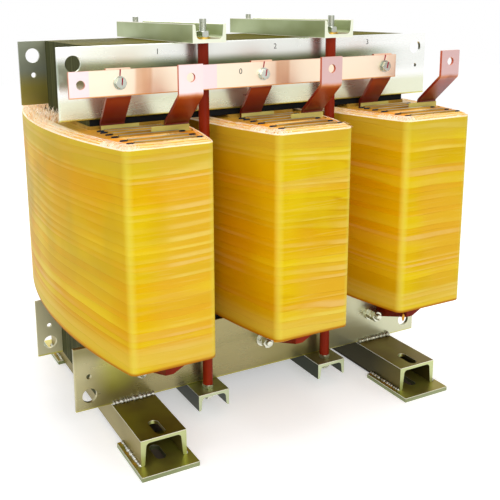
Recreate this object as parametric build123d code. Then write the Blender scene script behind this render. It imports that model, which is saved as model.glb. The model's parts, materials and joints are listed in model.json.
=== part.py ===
"""Three-phase dry type transformer with taped, resin-soaked coils, in millimetres.

+X runs along the row of coils, -Y is the terminal side and +Z is up. The origin is
on the ground, under the middle of the core.
"""
import math
import os

from build123d import *

# ---------------------------------------------------------------- driving sizes
# Laminated core: three limbs between two yokes, with 45 degree mitres.
PHASE_PITCH = 253.0
LIMB_WIDTH = 126.0
STACK_DEPTH = 236.0
WINDOW_HEIGHT = 359.0

# Flat steel clamps along both sides of each yoke.
CLAMP_PAST_CORE = 49.0
CLAMP_HEIGHT = 115.0
CLAMP_THICK = 6.0
CLAMP_EDGE_ROUND = 1.5
LIFT_HOLE = 26.0
LIFT_HOLE_FROM_END = 25.0
LIFT_HOLE_FROM_EDGE = 26.0
EARTH_HOLE = 9.0
EARTH_HOLE_FROM_EDGE = 61.0

# Bolts through the yokes, one at each phase.
YOKE_BOLT = 12.0
YOKE_BOLT_FROM_EDGE = 57.5
YOKE_BOLT_END = 6.0
YOKE_WASHER = 28.0
YOKE_WASHER_THICK = 4.0
YOKE_NUTS = 2

# Rolled channels: small ones tie the clamps together, large ones are the feet.
CROSS_WIDTH = 60.0
CROSS_DEPTH = 30.0
CROSS_WALL = 6.0
CROSS_OVERHANG = 46.0
FOOT_WIDTH = 80.0
FOOT_DEPTH = 45.0
FOOT_WEB = 6.0
FOOT_FLANGE = 8.0
FOOT_OVERHANG = 132.0
FOOT_FROM_CLAMP_END = 103.0
FLANGE_TAPER = 0.08
ROOT_RADIUS = 7.0
TOE_RADIUS = 3.0
SLOT_LENGTH = 44.0
SLOT_WIDTH = 18.0
SLOT_FROM_FOOT_END = 28.5

# Base plates under the ends of the feet.
PLATE_WIDTH = 100.0
PLATE_LENGTH = 112.0
PLATE_THICK = 8.0
PLATE_REACH = 28.0
CLAMP_BEAD = 6.0
PLATE_BEAD = 4.0
BEAD_HOLLOW = 0.42

# Vertical tie rods in insulating sleeves.
ROD = 12.0
ROD_FROM_CLAMP = 22.0
ROD_TOP_END = 19.5
ROD_BOTTOM_END = 4.0
ROD_CHAMFER = 1.2
SLEEVE = 18.0
SLEEVE_BORE = 13.0
ROD_WASHER = 24.0
ROD_WASHER_THICK = 2.5
LOCK_NUT_HEIGHT = 7.0

# Coils.
LIMB_CLEARANCE = 0.5
FORMER_WALL = 3.0
FORMER_CORNER = 5.0
COIL_END_GAP = 5.0
COIL_HALF_WIDTH = 113.0
COIL_HALF_DEPTH = 290.0
COIL_FLAT_HALF = 70.0
COIL_CORNER = 14.0
INNER_HALF_WIDTH = 90.0
INNER_HALF_DEPTH = 208.0
INNER_FLAT_HALF = 76.0
INNER_CORNER = 8.0
MAIN_DUCT = 6.0
WINDING_CLEARANCE = 0.3
RIM_DROP = 7.0
RIM_SLOPE = 12.0
INNER_DUCT_SHARES = (0.295, 0.48, 0.745)
OUTER_DUCT_SHARES = (0.435, 0.775)
DUCT_WIDTH = 5.0
DUCT_LENGTH = 124.0
SPACER_LENGTH = 98.0
SPACER_PROUD = 3.0

# Copper leads, each standing in a pocket of the inner winding.
LEAD_WIDTH = 40.0
LEAD_THICK = 5.0
LEAD_SUNK = 30.0
LEAD_CLEARANCE = 0.3
LEAD_BEND = 6.0
LEAD_HOLE = 14.0
TERMINAL_OFFSET = 51.0
TERMINAL_INSET = 7.5
TERMINAL_FOOT_RISE = 14.0
TERMINAL_REACH = 53.0
TERMINAL_SLOPE_RISE = 47.0
TERMINAL_TAB = 45.0
TERMINAL_HOLE_FROM_TOP = 19.0
NEUTRAL_OFFSET = -32.0
NEUTRAL_SHARE = 0.185
NEUTRAL_FOOT_RISE = 12.0
NEUTRAL_REACH = 34.0
NEUTRAL_SLOPE_RISE = 44.0
NEUTRAL_ABOVE_BAR = 2.0
PAD_THICK = 2.0
PAD_SIDE = 24.0
PAD_BELOW_KNEE = 4.0

# Neutral bar.
BAR_HEIGHT = 40.0
BAR_THICK = 5.0
BAR_BELOW_CLAMP_TOP = 33.5
BAR_END_MARGIN = 26.0
BAR_HOLE_FROM_END = 18.0
BAR_BOLT = 10.0
BAR_BOLT_END = 5.0
BAR_WASHER = 21.0
BAR_WASHER_THICK = 2.0

# Red support blocks between the lower clamps and the coils.
SUPPORT_OFFSET = 16.0
SUPPORT_WIDTH = 40.0
SUPPORT_REACH = 89.0
SUPPORT_ROOT_HEIGHT = 84.0
SUPPORT_TIP_HEIGHT = 53.0
SUPPORT_BEVEL_ACROSS = 26.0
SUPPORT_BEVEL_UP = 13.0
SUPPORT_RECESS_WIDTH = 24.0
SUPPORT_RECESS_DEPTH = 8.0
SUPPORT_RECESS_FLOOR = 18.0

# Proportions of hexagon nuts and heads to their thread, and the play round each thread.
FLATS_RATIO = 1.6
NUT_RATIO = 0.83
HEAD_RATIO = 0.65
THREAD_PLAY = 0.4
HOLE_PLAY = 1.0

# How far a cutter runs past the face it opens, and how far a face may be off in a search.
CUT_PAST = 1.0
NEAR = 0.01

# ---------------------------------------------------------------- worked-out places
PHASES = {"left": -1, "middle": 0, "right": 1}
SIDES = {"left": -1, "right": 1}
FACES = {"front": -1, "back": 1}

BASE_Z = PLATE_THICK + FOOT_DEPTH
WINDOW_BASE = BASE_Z + LIMB_WIDTH
WINDOW_TOP = WINDOW_BASE + WINDOW_HEIGHT
TOP_Z = WINDOW_TOP + LIMB_WIDTH
CORE_HALF = PHASE_PITCH + LIMB_WIDTH / 2
CLAMP_IN = STACK_DEPTH / 2
CLAMP_OUT = CLAMP_IN + CLAMP_THICK
CLAMP_HALF = CORE_HALF + CLAMP_PAST_CORE
LOWER_BOLT_Z = BASE_Z + YOKE_BOLT_FROM_EDGE
UPPER_BOLT_Z = TOP_Z - YOKE_BOLT_FROM_EDGE
ROD_X = PHASE_PITCH / 2
ROD_Y = CLAMP_OUT + ROD_FROM_CLAMP
CROSS_HALF = CLAMP_OUT + CROSS_OVERHANG
FOOT_X = CLAMP_HALF - FOOT_FROM_CLAMP_END
FOOT_HALF = CLAMP_OUT + FOOT_OVERHANG
SLOT_Y = FOOT_HALF - SLOT_FROM_FOOT_END
PLATE_END = FOOT_HALF + PLATE_REACH
COIL_BASE = WINDOW_BASE + COIL_END_GAP
COIL_TOP = WINDOW_TOP - COIL_END_GAP
COIL_HEIGHT = COIL_TOP - COIL_BASE
FORMER_HALF_X = LIMB_WIDTH / 2 + LIMB_CLEARANCE + FORMER_WALL
FORMER_HALF_Y = STACK_DEPTH / 2 + LIMB_CLEARANCE + FORMER_WALL
INNER_BUILD = INNER_HALF_DEPTH - FORMER_HALF_Y
OUTER_START = INNER_HALF_DEPTH + MAIN_DUCT
OUTER_BUILD = COIL_HALF_DEPTH - OUTER_START
INNER_DUCTS = [FORMER_HALF_Y + share * INNER_BUILD for share in INNER_DUCT_SHARES]
OUTER_DUCTS = [OUTER_START + share * OUTER_BUILD for share in OUTER_DUCT_SHARES]
LEAD_BASE = COIL_TOP - LEAD_SUNK
TERMINAL_DEPTH = INNER_HALF_DEPTH - TERMINAL_INSET
NEUTRAL_DEPTH = FORMER_HALF_Y + NEUTRAL_SHARE * INNER_BUILD
NEUTRAL_Y = -(NEUTRAL_DEPTH + NEUTRAL_REACH)
BAR_BACK = NEUTRAL_Y - LEAD_THICK / 2
BAR_FRONT = BAR_BACK - BAR_THICK
BAR_Z = TOP_Z - BAR_BELOW_CLAMP_TOP - BAR_HEIGHT / 2
BAR_LEFT = -CLAMP_HALF
BAR_RIGHT = PHASE_PITCH + NEUTRAL_OFFSET + BAR_END_MARGIN
LEADS = (
    (TERMINAL_OFFSET, TERMINAL_DEPTH, TERMINAL_FOOT_RISE),
    (NEUTRAL_OFFSET, NEUTRAL_DEPTH, NEUTRAL_FOOT_RISE),
)


# ---------------------------------------------------------------- shared shapes
def box(x_range, y_range, z_range):
    """A block between two values on each axis."""
    spans = [(min(r), max(r)) for r in (x_range, y_range, z_range)]
    lows = [low for low, _ in spans]
    return Pos(*lows) * Box(*[high - low for low, high in spans], align=(Align.MIN,) * 3)


def rod_along(axis, diameter, start, end, at):
    """A round bar along Y or Z between two values; `at` gives its place on the other axes."""
    length = abs(end - start)
    middle = (start + end) / 2
    bar = Cylinder(diameter / 2, length)
    if axis == "Z":
        return Pos(at[0], at[1], middle) * bar
    return Pos(at[0], middle, at[1]) * Rot(90, 0, 0) * bar


def hexagon(flats, height):
    """A hexagon prism with its top and bottom corners turned off, standing on z = 0."""
    corners = flats / math.cos(math.pi / 6)
    prism = extrude(RegularPolygon(corners / 2, 6), height)
    turned = Pos(0, 0, height / 2) * Cylinder(corners / 2, height)
    bevel = (corners - flats) / 2
    return prism & chamfer(turned.edges().filter_by(GeomType.CIRCLE), bevel)


def nut(thread, height):
    """A hexagon nut standing on z = 0."""
    bore = Pos(0, 0, height / 2) * Cylinder((thread + THREAD_PLAY) / 2, height)
    return hexagon(thread * FLATS_RATIO, height) - bore


def washer(outer, thread, thick):
    """A flat washer standing on z = 0."""
    return extrude(Circle(outer / 2) - Circle((thread + HOLE_PLAY) / 2), thick)


def hole_y(diameter, x, z, near, far):
    """A cutter for a hole along Y."""
    return rod_along("Y", diameter, near, far, (x, z))


def face_turn(face):
    """Turns a thing that stands on z = 0 so that it stands out of a front or a back face."""
    return Rot(90, 0, 0) if face < 0 else Rot(-90, 0, 0)


def rolled_channel(width, depth, web, flange, length):
    """A hot-rolled channel along Y: web on z = 0, flanges up, with tapered inner faces."""
    half = width / 2
    slope = FLANGE_TAPER * depth / 2
    root, toe = half - flange - slope, half - flange + slope
    outline = Polyline(
        (-half, 0), (half, 0), (half, depth), (toe, depth), (root, web),
        (-root, web), (-toe, depth), (-half, depth), close=True,
    )
    section = make_face(outline)
    roots = [v for v in section.vertices() if abs(v.Y - web) < NEAR]
    section = fillet(roots, ROOT_RADIUS)
    toes = [v for v in section.vertices() if abs(v.Y - depth) < NEAR and abs(v.X) < half - NEAR]
    section = fillet(toes, TOE_RADIUS)
    return extrude(Plane.XZ * section, length / 2, both=True)


def winding_outline(half_width, half_depth, flat_half, corner):
    """A coil's plan: flat front and back, and long sides that bow out in one arc."""
    right = ThreePointArc((flat_half, -half_depth), (half_width, 0), (flat_half, half_depth))
    back = Line((flat_half, half_depth), (-flat_half, half_depth))
    left = ThreePointArc((-flat_half, half_depth), (-half_width, 0), (-flat_half, -half_depth))
    front = Line((-flat_half, -half_depth), (flat_half, -half_depth))
    face = make_face([right, back, left, front])
    return fillet(face.vertices(), corner)


# ---------------------------------------------------------------- core
def core_part(points):
    """One leaf stack of the core from its outline in X and Z, with the yoke bolt holes."""
    stack = extrude(Plane.XZ * make_face(Polyline(*points, close=True)), CLAMP_IN, both=True)
    reach = CLAMP_IN + CUT_PAST
    for place in PHASES.values():
        for z in (LOWER_BOLT_Z, UPPER_BOLT_Z):
            stack -= hole_y(YOKE_BOLT + HOLE_PLAY, place * PHASE_PITCH, z, -reach, reach)
    return stack


def core():
    half, tip = LIMB_WIDTH / 2, LIMB_WIDTH / 2
    inner = CORE_HALF - LIMB_WIDTH
    outer_limb = [(-CORE_HALF, BASE_Z), (-inner, WINDOW_BASE), (-inner, WINDOW_TOP), (-CORE_HALF, TOP_Z)]
    middle_limb = [
        (-half, WINDOW_BASE), (0, WINDOW_BASE - tip), (half, WINDOW_BASE),
        (half, WINDOW_TOP), (0, WINDOW_TOP + tip), (-half, WINDOW_TOP),
    ]
    lower_yoke = [
        (-CORE_HALF, BASE_Z), (CORE_HALF, BASE_Z), (inner, WINDOW_BASE),
        (half, WINDOW_BASE), (0, WINDOW_BASE - tip), (-half, WINDOW_BASE), (-inner, WINDOW_BASE),
    ]
    upper_yoke = [(x, BASE_Z + TOP_Z - z) for x, z in lower_yoke]
    return {
        "core_limb_left": core_part(outer_limb),
        "core_limb_middle": core_part(middle_limb),
        "core_limb_right": core_part([(-x, z) for x, z in outer_limb]),
        "core_yoke_lower": core_part(lower_yoke),
        "core_yoke_upper": core_part(upper_yoke),
    }


# ---------------------------------------------------------------- clamps
def clamp(face, edge_z, inward):
    """A clamp plate; `edge_z` is its outer long edge and `inward` points to the coils."""
    plate = box(
        (-CLAMP_HALF, CLAMP_HALF),
        (face * CLAMP_IN, face * CLAMP_OUT),
        (edge_z, edge_z + inward * CLAMP_HEIGHT),
    )
    outer = plate.faces().sort_by(Axis.Y)[0 if face < 0 else -1]
    plate = fillet(outer.edges(), CLAMP_EDGE_ROUND)
    near, far = face * (CLAMP_IN - CUT_PAST), face * (CLAMP_OUT + CUT_PAST)
    for side in SIDES.values():
        x = side * (CLAMP_HALF - LIFT_HOLE_FROM_END)
        plate -= hole_y(LIFT_HOLE, x, edge_z + inward * LIFT_HOLE_FROM_EDGE, near, far)
        plate -= hole_y(EARTH_HOLE, x, edge_z + inward * EARTH_HOLE_FROM_EDGE, near, far)
    bolt_z = edge_z + inward * YOKE_BOLT_FROM_EDGE
    for place in PHASES.values():
        plate -= hole_y(YOKE_BOLT + HOLE_PLAY, place * PHASE_PITCH, bolt_z, near, far)
    return plate


def clamps():
    made = {}
    for name, face in FACES.items():
        made[f"lower_clamp_{name}"] = clamp(face, BASE_Z, 1)
        made[f"upper_clamp_{name}"] = clamp(face, TOP_Z, -1)
    return made


def yoke_bolts():
    """Studs through both yokes at each phase, with a washer and locked nuts on each side."""
    studs, washers, nuts = [], [], []
    nut_height = YOKE_BOLT * NUT_RATIO
    reach = CLAMP_OUT + YOKE_WASHER_THICK + YOKE_NUTS * nut_height + YOKE_BOLT_END
    for place in PHASES.values():
        for z in (LOWER_BOLT_Z, UPPER_BOLT_Z):
            x = place * PHASE_PITCH
            studs.append(rod_along("Y", YOKE_BOLT, -reach, reach, (x, z)))
            for face in FACES.values():
                turn = face_turn(face)
                seat = Pos(x, face * CLAMP_OUT, z) * turn
                washers.append(seat * washer(YOKE_WASHER, YOKE_BOLT, YOKE_WASHER_THICK))
                for number in range(YOKE_NUTS):
                    out = CLAMP_OUT + YOKE_WASHER_THICK + number * nut_height
                    nuts.append(Pos(x, face * out, z) * turn * nut(YOKE_BOLT, nut_height))
    return {
        "yoke_bolt_studs": Compound(studs),
        "yoke_bolt_washers": Compound(washers),
        "yoke_bolt_nuts": Compound(nuts),
    }


# ---------------------------------------------------------------- tie rods
def cross_channels():
    channel = rolled_channel(CROSS_WIDTH, CROSS_DEPTH, CROSS_WALL, CROSS_WALL, 2 * CROSS_HALF)
    for face in FACES.values():
        channel -= rod_along("Z", ROD + HOLE_PLAY, -CUT_PAST, CROSS_WALL + CUT_PAST, (0, face * ROD_Y))
    made = {}
    for name, side in SIDES.items():
        made[f"upper_cross_channel_{name}"] = Pos(side * ROD_X, 0, TOP_Z) * channel
        made[f"lower_cross_channel_{name}"] = Pos(side * ROD_X, 0, BASE_Z) * Rot(0, 180, 0) * channel
    return made


def tie_rods():
    """Four rods with sleeves; nuts and washers hold the channels, a thin nut carries each sleeve."""
    made, washers, nuts, lock_nuts = {}, [], [], []
    nut_height = ROD * NUT_RATIO
    low_seat, high_seat = BASE_Z - CROSS_WALL, TOP_Z + CROSS_WALL
    stack = ROD_WASHER_THICK + nut_height
    bottom, top = low_seat - stack - ROD_BOTTOM_END, high_seat + stack + ROD_TOP_END
    sleeve_base = BASE_Z + LOCK_NUT_HEIGHT
    for face_name, face in FACES.items():
        for side_name, side in SIDES.items():
            at = (side * ROD_X, face * ROD_Y)
            rod = rod_along("Z", ROD, bottom, top, at)
            rod = chamfer(rod.edges().filter_by(GeomType.CIRCLE), ROD_CHAMFER)
            sleeve = rod_along("Z", SLEEVE, sleeve_base, TOP_Z, at)
            sleeve -= rod_along("Z", SLEEVE_BORE, sleeve_base - CUT_PAST, TOP_Z + CUT_PAST, at)
            made[f"tie_rod_{face_name}_{side_name}"] = rod
            made[f"tie_rod_sleeve_{face_name}_{side_name}"] = sleeve
            ring = washer(ROD_WASHER, ROD, ROD_WASHER_THICK)
            washers.append(Pos(*at, high_seat) * ring)
            washers.append(Pos(*at, low_seat - ROD_WASHER_THICK) * ring)
            nuts.append(Pos(*at, high_seat + ROD_WASHER_THICK) * nut(ROD, nut_height))
            nuts.append(Pos(*at, low_seat - stack) * nut(ROD, nut_height))
            lock_nuts.append(Pos(*at, BASE_Z) * nut(ROD, LOCK_NUT_HEIGHT))
    made["tie_rod_washers"] = Compound(washers)
    made["tie_rod_nuts"] = Compound(nuts)
    made["tie_rod_thin_nuts"] = Compound(lock_nuts)
    return made


# ---------------------------------------------------------------- feet
def slot_cutter(thick):
    """A cutter for one anchor slot, long along Y, through a plate that stands on z = 0."""
    slot = Rot(0, 0, 90) * SlotOverall(SLOT_LENGTH, SLOT_WIDTH)
    return Pos(0, 0, -CUT_PAST) * extrude(slot, thick + 2 * CUT_PAST)


def feet():
    channel = rolled_channel(FOOT_WIDTH, FOOT_DEPTH, FOOT_WEB, FOOT_FLANGE, 2 * FOOT_HALF)
    for face in FACES.values():
        channel -= Pos(0, face * SLOT_Y, 0) * slot_cutter(FOOT_WEB)
    made = {}
    for name, side in SIDES.items():
        made[f"foot_channel_{name}"] = Pos(side * FOOT_X, 0, BASE_Z) * Rot(0, 180, 0) * channel
        for face_name, face in FACES.items():
            x = side * FOOT_X
            plate = box(
                (x - PLATE_WIDTH / 2, x + PLATE_WIDTH / 2),
                (face * PLATE_END, face * (PLATE_END - PLATE_LENGTH)),
                (0, PLATE_THICK),
            )
            plate -= Pos(x, face * SLOT_Y, 0) * slot_cutter(PLATE_THICK)
            made[f"base_plate_{face_name}_{name}"] = plate
    return made


def bead(leg, length):
    """A fillet weld along X in the corner of -Y and +Z, with a slightly hollow face."""
    toe_out, toe_up = (-leg, 0), (0, leg)
    hollow = ThreePointArc(toe_out, (-BEAD_HOLLOW * leg, BEAD_HOLLOW * leg), toe_up)
    section = make_face([hollow, Line(toe_up, (0, 0)), Line((0, 0), toe_out)])
    return extrude(Plane.YZ * section, length / 2, both=True)


def weld_beads():
    """Beads between clamps and feet, and along the flanges on the base plates."""
    clamp_beads, plate_beads = [], []
    flange_run = FOOT_HALF - (PLATE_END - PLATE_LENGTH)
    for side in SIDES.values():
        for face in FACES.values():
            turn = Rot(0, 0, 0) if face < 0 else Rot(0, 0, 180)
            at = Pos(side * FOOT_X, face * CLAMP_OUT, BASE_Z)
            clamp_beads.append(at * turn * bead(CLAMP_BEAD, FOOT_WIDTH))
            for edge in SIDES.values():
                turn = Rot(0, 0, 90) if edge > 0 else Rot(0, 0, -90)
                x = side * FOOT_X + edge * FOOT_WIDTH / 2
                at = Pos(x, face * (FOOT_HALF - flange_run / 2), PLATE_THICK)
                plate_beads.append(at * turn * bead(PLATE_BEAD, flange_run))
    return {"foot_weld_beads": Compound(clamp_beads), "base_plate_weld_beads": Compound(plate_beads)}


# ---------------------------------------------------------------- coils
def former():
    outside = RectangleRounded(2 * FORMER_HALF_X, 2 * FORMER_HALF_Y, FORMER_CORNER)
    inside = Rectangle(2 * (FORMER_HALF_X - FORMER_WALL), 2 * (FORMER_HALF_Y - FORMER_WALL))
    return Pos(0, 0, WINDOW_BASE) * extrude(outside - inside, WINDOW_HEIGHT)


def duct_cutters(depths):
    """Through slots at the front and the back, one pair for each depth."""
    slot = SlotOverall(DUCT_LENGTH, DUCT_WIDTH)
    height = COIL_HEIGHT + 2 * CUT_PAST
    cuts = []
    for depth in depths:
        for face in FACES.values():
            cuts.append(Pos(0, face * depth, COIL_BASE - CUT_PAST) * extrude(slot, height))
    return cuts


def pad_span(offset, half):
    """Where a pad runs in X: the lead's own width, and further out towards the coil's middle."""
    if offset > 0:
        return offset - half - PAD_SIDE, offset + half
    return offset - half, offset + half + PAD_SIDE


def lead_pocket(offset, depth):
    """The space in the winding for one lead and the pad in front of it."""
    half = LEAD_WIDTH / 2 + LEAD_CLEARANCE
    heights = (LEAD_BASE, COIL_TOP + CUT_PAST)
    front = -(depth + LEAD_THICK / 2)
    lead = box((offset - half, offset + half), (front, front + LEAD_THICK + LEAD_CLEARANCE), heights)
    return lead + box(pad_span(offset, half), (front - PAD_THICK, front), heights)


def inner_winding():
    plan = winding_outline(INNER_HALF_WIDTH, INNER_HALF_DEPTH, INNER_FLAT_HALF, INNER_CORNER)
    plan -= RectangleRounded(2 * FORMER_HALF_X, 2 * FORMER_HALF_Y, FORMER_CORNER)
    body = Pos(0, 0, COIL_BASE) * extrude(plan, COIL_HEIGHT)
    body -= duct_cutters(INNER_DUCTS)
    for offset, depth, _ in LEADS:
        body -= lead_pocket(offset, depth)
    return body


def outer_winding():
    plan = winding_outline(COIL_HALF_WIDTH, COIL_HALF_DEPTH, COIL_FLAT_HALF, COIL_CORNER)
    body = Pos(0, 0, COIL_BASE) * extrude(plan, COIL_HEIGHT)
    lid = body.faces().sort_by(Axis.Z)[-1]
    body = chamfer(lid.edges(), RIM_SLOPE, RIM_DROP, reference=lid)
    hollow = winding_outline(
        INNER_HALF_WIDTH + WINDING_CLEARANCE,
        OUTER_START,
        INNER_FLAT_HALF + WINDING_CLEARANCE,
        INNER_CORNER,
    )
    body -= Pos(0, 0, COIL_BASE - CUT_PAST) * extrude(hollow, COIL_HEIGHT + 2 * CUT_PAST)
    body -= duct_cutters(OUTER_DUCTS)
    return body


def duct_spacers():
    """Flat boards that hold every duct open; the ducts stay open past both ends of a board."""
    half = SPACER_LENGTH / 2
    heights = (COIL_BASE, COIL_TOP + SPACER_PROUD)
    ducts = [(depth, DUCT_WIDTH) for depth in INNER_DUCTS + OUTER_DUCTS]
    ducts.append((INNER_HALF_DEPTH + MAIN_DUCT / 2, MAIN_DUCT))
    boards = []
    for depth, width in ducts:
        for face in FACES.values():
            y = face * depth
            boards.append(box((-half, half), (y - width / 2, y + width / 2), heights))
    return boards


def coils():
    made = {}
    for name, place in PHASES.items():
        at = Pos(place * PHASE_PITCH, 0, 0)
        made[f"coil_former_{name}"] = at * former()
        made[f"coil_inner_winding_{name}"] = at * inner_winding()
        made[f"coil_outer_winding_{name}"] = at * outer_winding()
        made[f"coil_duct_spacers_{name}"] = Compound([at * board for board in duct_spacers()])
    return made


def coil_supports():
    """Moulded brackets on the lower clamps that carry the coils' overhanging ends."""
    blocks = []
    profile = [
        (CLAMP_OUT, COIL_BASE), (CLAMP_OUT, COIL_BASE - SUPPORT_ROOT_HEIGHT),
        (CLAMP_OUT + SUPPORT_REACH, COIL_BASE - SUPPORT_TIP_HEIGHT), (CLAMP_OUT + SUPPORT_REACH, COIL_BASE),
    ]
    for place in PHASES.values():
        left = place * PHASE_PITCH + SUPPORT_OFFSET
        for face in FACES.values():
            outline = [(face * y, z) for y, z in profile]
            side = Plane.YZ.offset(left) * make_face(Polyline(*outline, close=True))
            block = extrude(side, SUPPORT_WIDTH)
            low = block.faces().sort_by(Axis.Z)[0]
            edge = low.edges().sort_by(Axis.X)[-1]
            block = chamfer(edge, SUPPORT_BEVEL_ACROSS, SUPPORT_BEVEL_UP, reference=low)
            middle = left + SUPPORT_WIDTH / 2
            end = face * (CLAMP_OUT + SUPPORT_REACH)
            block -= box(
                (middle - SUPPORT_RECESS_WIDTH / 2, middle + SUPPORT_RECESS_WIDTH / 2),
                (end, end - face * SUPPORT_RECESS_DEPTH),
                (COIL_BASE - SUPPORT_TIP_HEIGHT + SUPPORT_RECESS_FLOOR, COIL_BASE),
            )
            blocks.append(block)
    return {"coil_support_blocks": Compound(blocks)}


# ---------------------------------------------------------------- copper
def bent_lead(depth, foot_rise, reach, slope_rise, top_z):
    """A flat lead: up out of the coil, out on a slope, then up again to its tab."""
    low = (0, -depth, LEAD_BASE)
    knee = (0, -depth, COIL_TOP + foot_rise)
    bend = (0, -(depth + reach), COIL_TOP + foot_rise + slope_rise)
    path = FilletPolyline(low, knee, bend, (0, bend[1], top_z), radius=LEAD_BEND)
    section = Plane(origin=low, z_dir=(0, 0, 1)) * Rectangle(LEAD_WIDTH, LEAD_THICK)
    return sweep(section, path)


def leads():
    made = {}
    tab_base = COIL_TOP + TERMINAL_FOOT_RISE + TERMINAL_SLOPE_RISE
    terminal_top = tab_base + TERMINAL_TAB
    terminal = bent_lead(
        TERMINAL_DEPTH, TERMINAL_FOOT_RISE, TERMINAL_REACH, TERMINAL_SLOPE_RISE, terminal_top
    )
    tab_y = -(TERMINAL_DEPTH + TERMINAL_REACH)
    terminal -= hole_y(
        LEAD_HOLE, 0, terminal_top - TERMINAL_HOLE_FROM_TOP, tab_y - LEAD_THICK, tab_y + LEAD_THICK
    )
    neutral_top = BAR_Z + BAR_HEIGHT / 2 + NEUTRAL_ABOVE_BAR
    neutral = bent_lead(
        NEUTRAL_DEPTH, NEUTRAL_FOOT_RISE, NEUTRAL_REACH, NEUTRAL_SLOPE_RISE, neutral_top
    )
    neutral -= hole_y(
        BAR_BOLT + HOLE_PLAY, 0, BAR_Z, NEUTRAL_Y - LEAD_THICK, NEUTRAL_Y + LEAD_THICK
    )
    for name, place in PHASES.items():
        x = place * PHASE_PITCH
        made[f"terminal_lead_{name}"] = Pos(x + TERMINAL_OFFSET, 0, 0) * terminal
        made[f"neutral_lead_{name}"] = Pos(x + NEUTRAL_OFFSET, 0, 0) * neutral
    return made


def lead_pads():
    """Insulating strips in front of the leads, wider than the lead on one side."""
    pads = []
    for place in PHASES.values():
        for offset, depth, rise in LEADS:
            low, high = pad_span(offset, LEAD_WIDTH / 2)
            front = -(depth + LEAD_THICK / 2) - PAD_THICK
            x = place * PHASE_PITCH
            heights = (LEAD_BASE, COIL_TOP + rise - PAD_BELOW_KNEE)
            pads.append(box((x + low, x + high), (front, front + PAD_THICK), heights))
    return {"lead_pads": Compound(pads)}


def neutral_bar():
    bar = box((BAR_LEFT, BAR_RIGHT), (BAR_FRONT, BAR_BACK), (BAR_Z - BAR_HEIGHT / 2, BAR_Z + BAR_HEIGHT / 2))
    bar -= hole_y(LEAD_HOLE, BAR_LEFT + BAR_HOLE_FROM_END, BAR_Z, BAR_FRONT - CUT_PAST, BAR_BACK + CUT_PAST)
    bolts, washers, nuts = [], [], []
    head_height = BAR_BOLT * HEAD_RATIO
    nut_height = BAR_BOLT * NUT_RATIO
    back_face = BAR_BACK + LEAD_THICK
    shank_end = back_face + BAR_WASHER_THICK + nut_height + BAR_BOLT_END
    for place in PHASES.values():
        x = place * PHASE_PITCH + NEUTRAL_OFFSET
        bar -= hole_y(BAR_BOLT + HOLE_PLAY, x, BAR_Z, BAR_FRONT - CUT_PAST, BAR_BACK + CUT_PAST)
        head_seat = BAR_FRONT - BAR_WASHER_THICK
        head = Pos(x, head_seat, BAR_Z) * face_turn(-1) * hexagon(BAR_BOLT * FLATS_RATIO, head_height)
        bolts.append(head + rod_along("Y", BAR_BOLT, head_seat, shank_end, (x, BAR_Z)))
        ring = washer(BAR_WASHER, BAR_BOLT, BAR_WASHER_THICK)
        washers.append(Pos(x, BAR_FRONT, BAR_Z) * face_turn(-1) * ring)
        washers.append(Pos(x, back_face, BAR_Z) * face_turn(1) * ring)
        nut_seat = back_face + BAR_WASHER_THICK
        nuts.append(Pos(x, nut_seat, BAR_Z) * face_turn(1) * nut(BAR_BOLT, nut_height))
    return {
        "neutral_bar": bar,
        "neutral_bar_bolts": Compound(bolts),
        "neutral_bar_washers": Compound(washers),
        "neutral_bar_nuts": Compound(nuts),
    }


# ---------------------------------------------------------------- write
def main():
    os.makedirs("parts", exist_ok=True)
    sections = (
        core, clamps, yoke_bolts, cross_channels, tie_rods, feet, weld_beads,
        coils, coil_supports, leads, lead_pads, neutral_bar,
    )
    for section in sections:
        for node, shape in section().items():
            export_step(shape, f"parts/{node}.step")


main()
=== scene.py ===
# %% [markdown]
# # A dry type transformer, dressed for rendering
# The solid model comes in as a fixed frame in metres: +X runs along the three coils, -Y is the
# terminal side and +Z is up. Nothing in it is moved: its nodes only get materials, and a few are
# replaced by richer meshes.

# %% Load the frame
import json
import math
import random

import bmesh
import bpy
from mathutils import Matrix, Vector

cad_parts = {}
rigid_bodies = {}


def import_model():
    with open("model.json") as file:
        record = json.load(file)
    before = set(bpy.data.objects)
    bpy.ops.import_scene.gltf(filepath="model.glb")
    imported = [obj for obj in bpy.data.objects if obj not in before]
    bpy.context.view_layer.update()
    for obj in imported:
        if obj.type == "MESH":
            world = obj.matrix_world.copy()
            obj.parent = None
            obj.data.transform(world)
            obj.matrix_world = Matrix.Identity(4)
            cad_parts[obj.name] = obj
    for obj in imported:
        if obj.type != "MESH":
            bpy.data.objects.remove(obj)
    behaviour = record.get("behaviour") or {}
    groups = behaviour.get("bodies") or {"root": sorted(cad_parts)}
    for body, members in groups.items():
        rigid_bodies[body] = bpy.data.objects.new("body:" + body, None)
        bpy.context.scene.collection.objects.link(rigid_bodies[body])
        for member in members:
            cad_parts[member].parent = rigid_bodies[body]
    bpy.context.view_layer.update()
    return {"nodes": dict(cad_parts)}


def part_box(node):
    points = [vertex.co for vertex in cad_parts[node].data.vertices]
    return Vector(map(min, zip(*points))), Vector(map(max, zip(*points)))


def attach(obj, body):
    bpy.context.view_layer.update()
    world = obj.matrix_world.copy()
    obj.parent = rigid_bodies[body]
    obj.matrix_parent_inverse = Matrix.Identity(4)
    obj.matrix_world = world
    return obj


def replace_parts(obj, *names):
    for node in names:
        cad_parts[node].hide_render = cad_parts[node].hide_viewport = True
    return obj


for thing in list(bpy.data.objects):
    bpy.data.objects.remove(thing)


def put(name, data):
    """An object made of this data, in the scene."""
    thing = bpy.data.objects.new(name, data)
    bpy.context.scene.collection.objects.link(thing)
    return thing


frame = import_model()
NODES = frame["nodes"]

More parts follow.
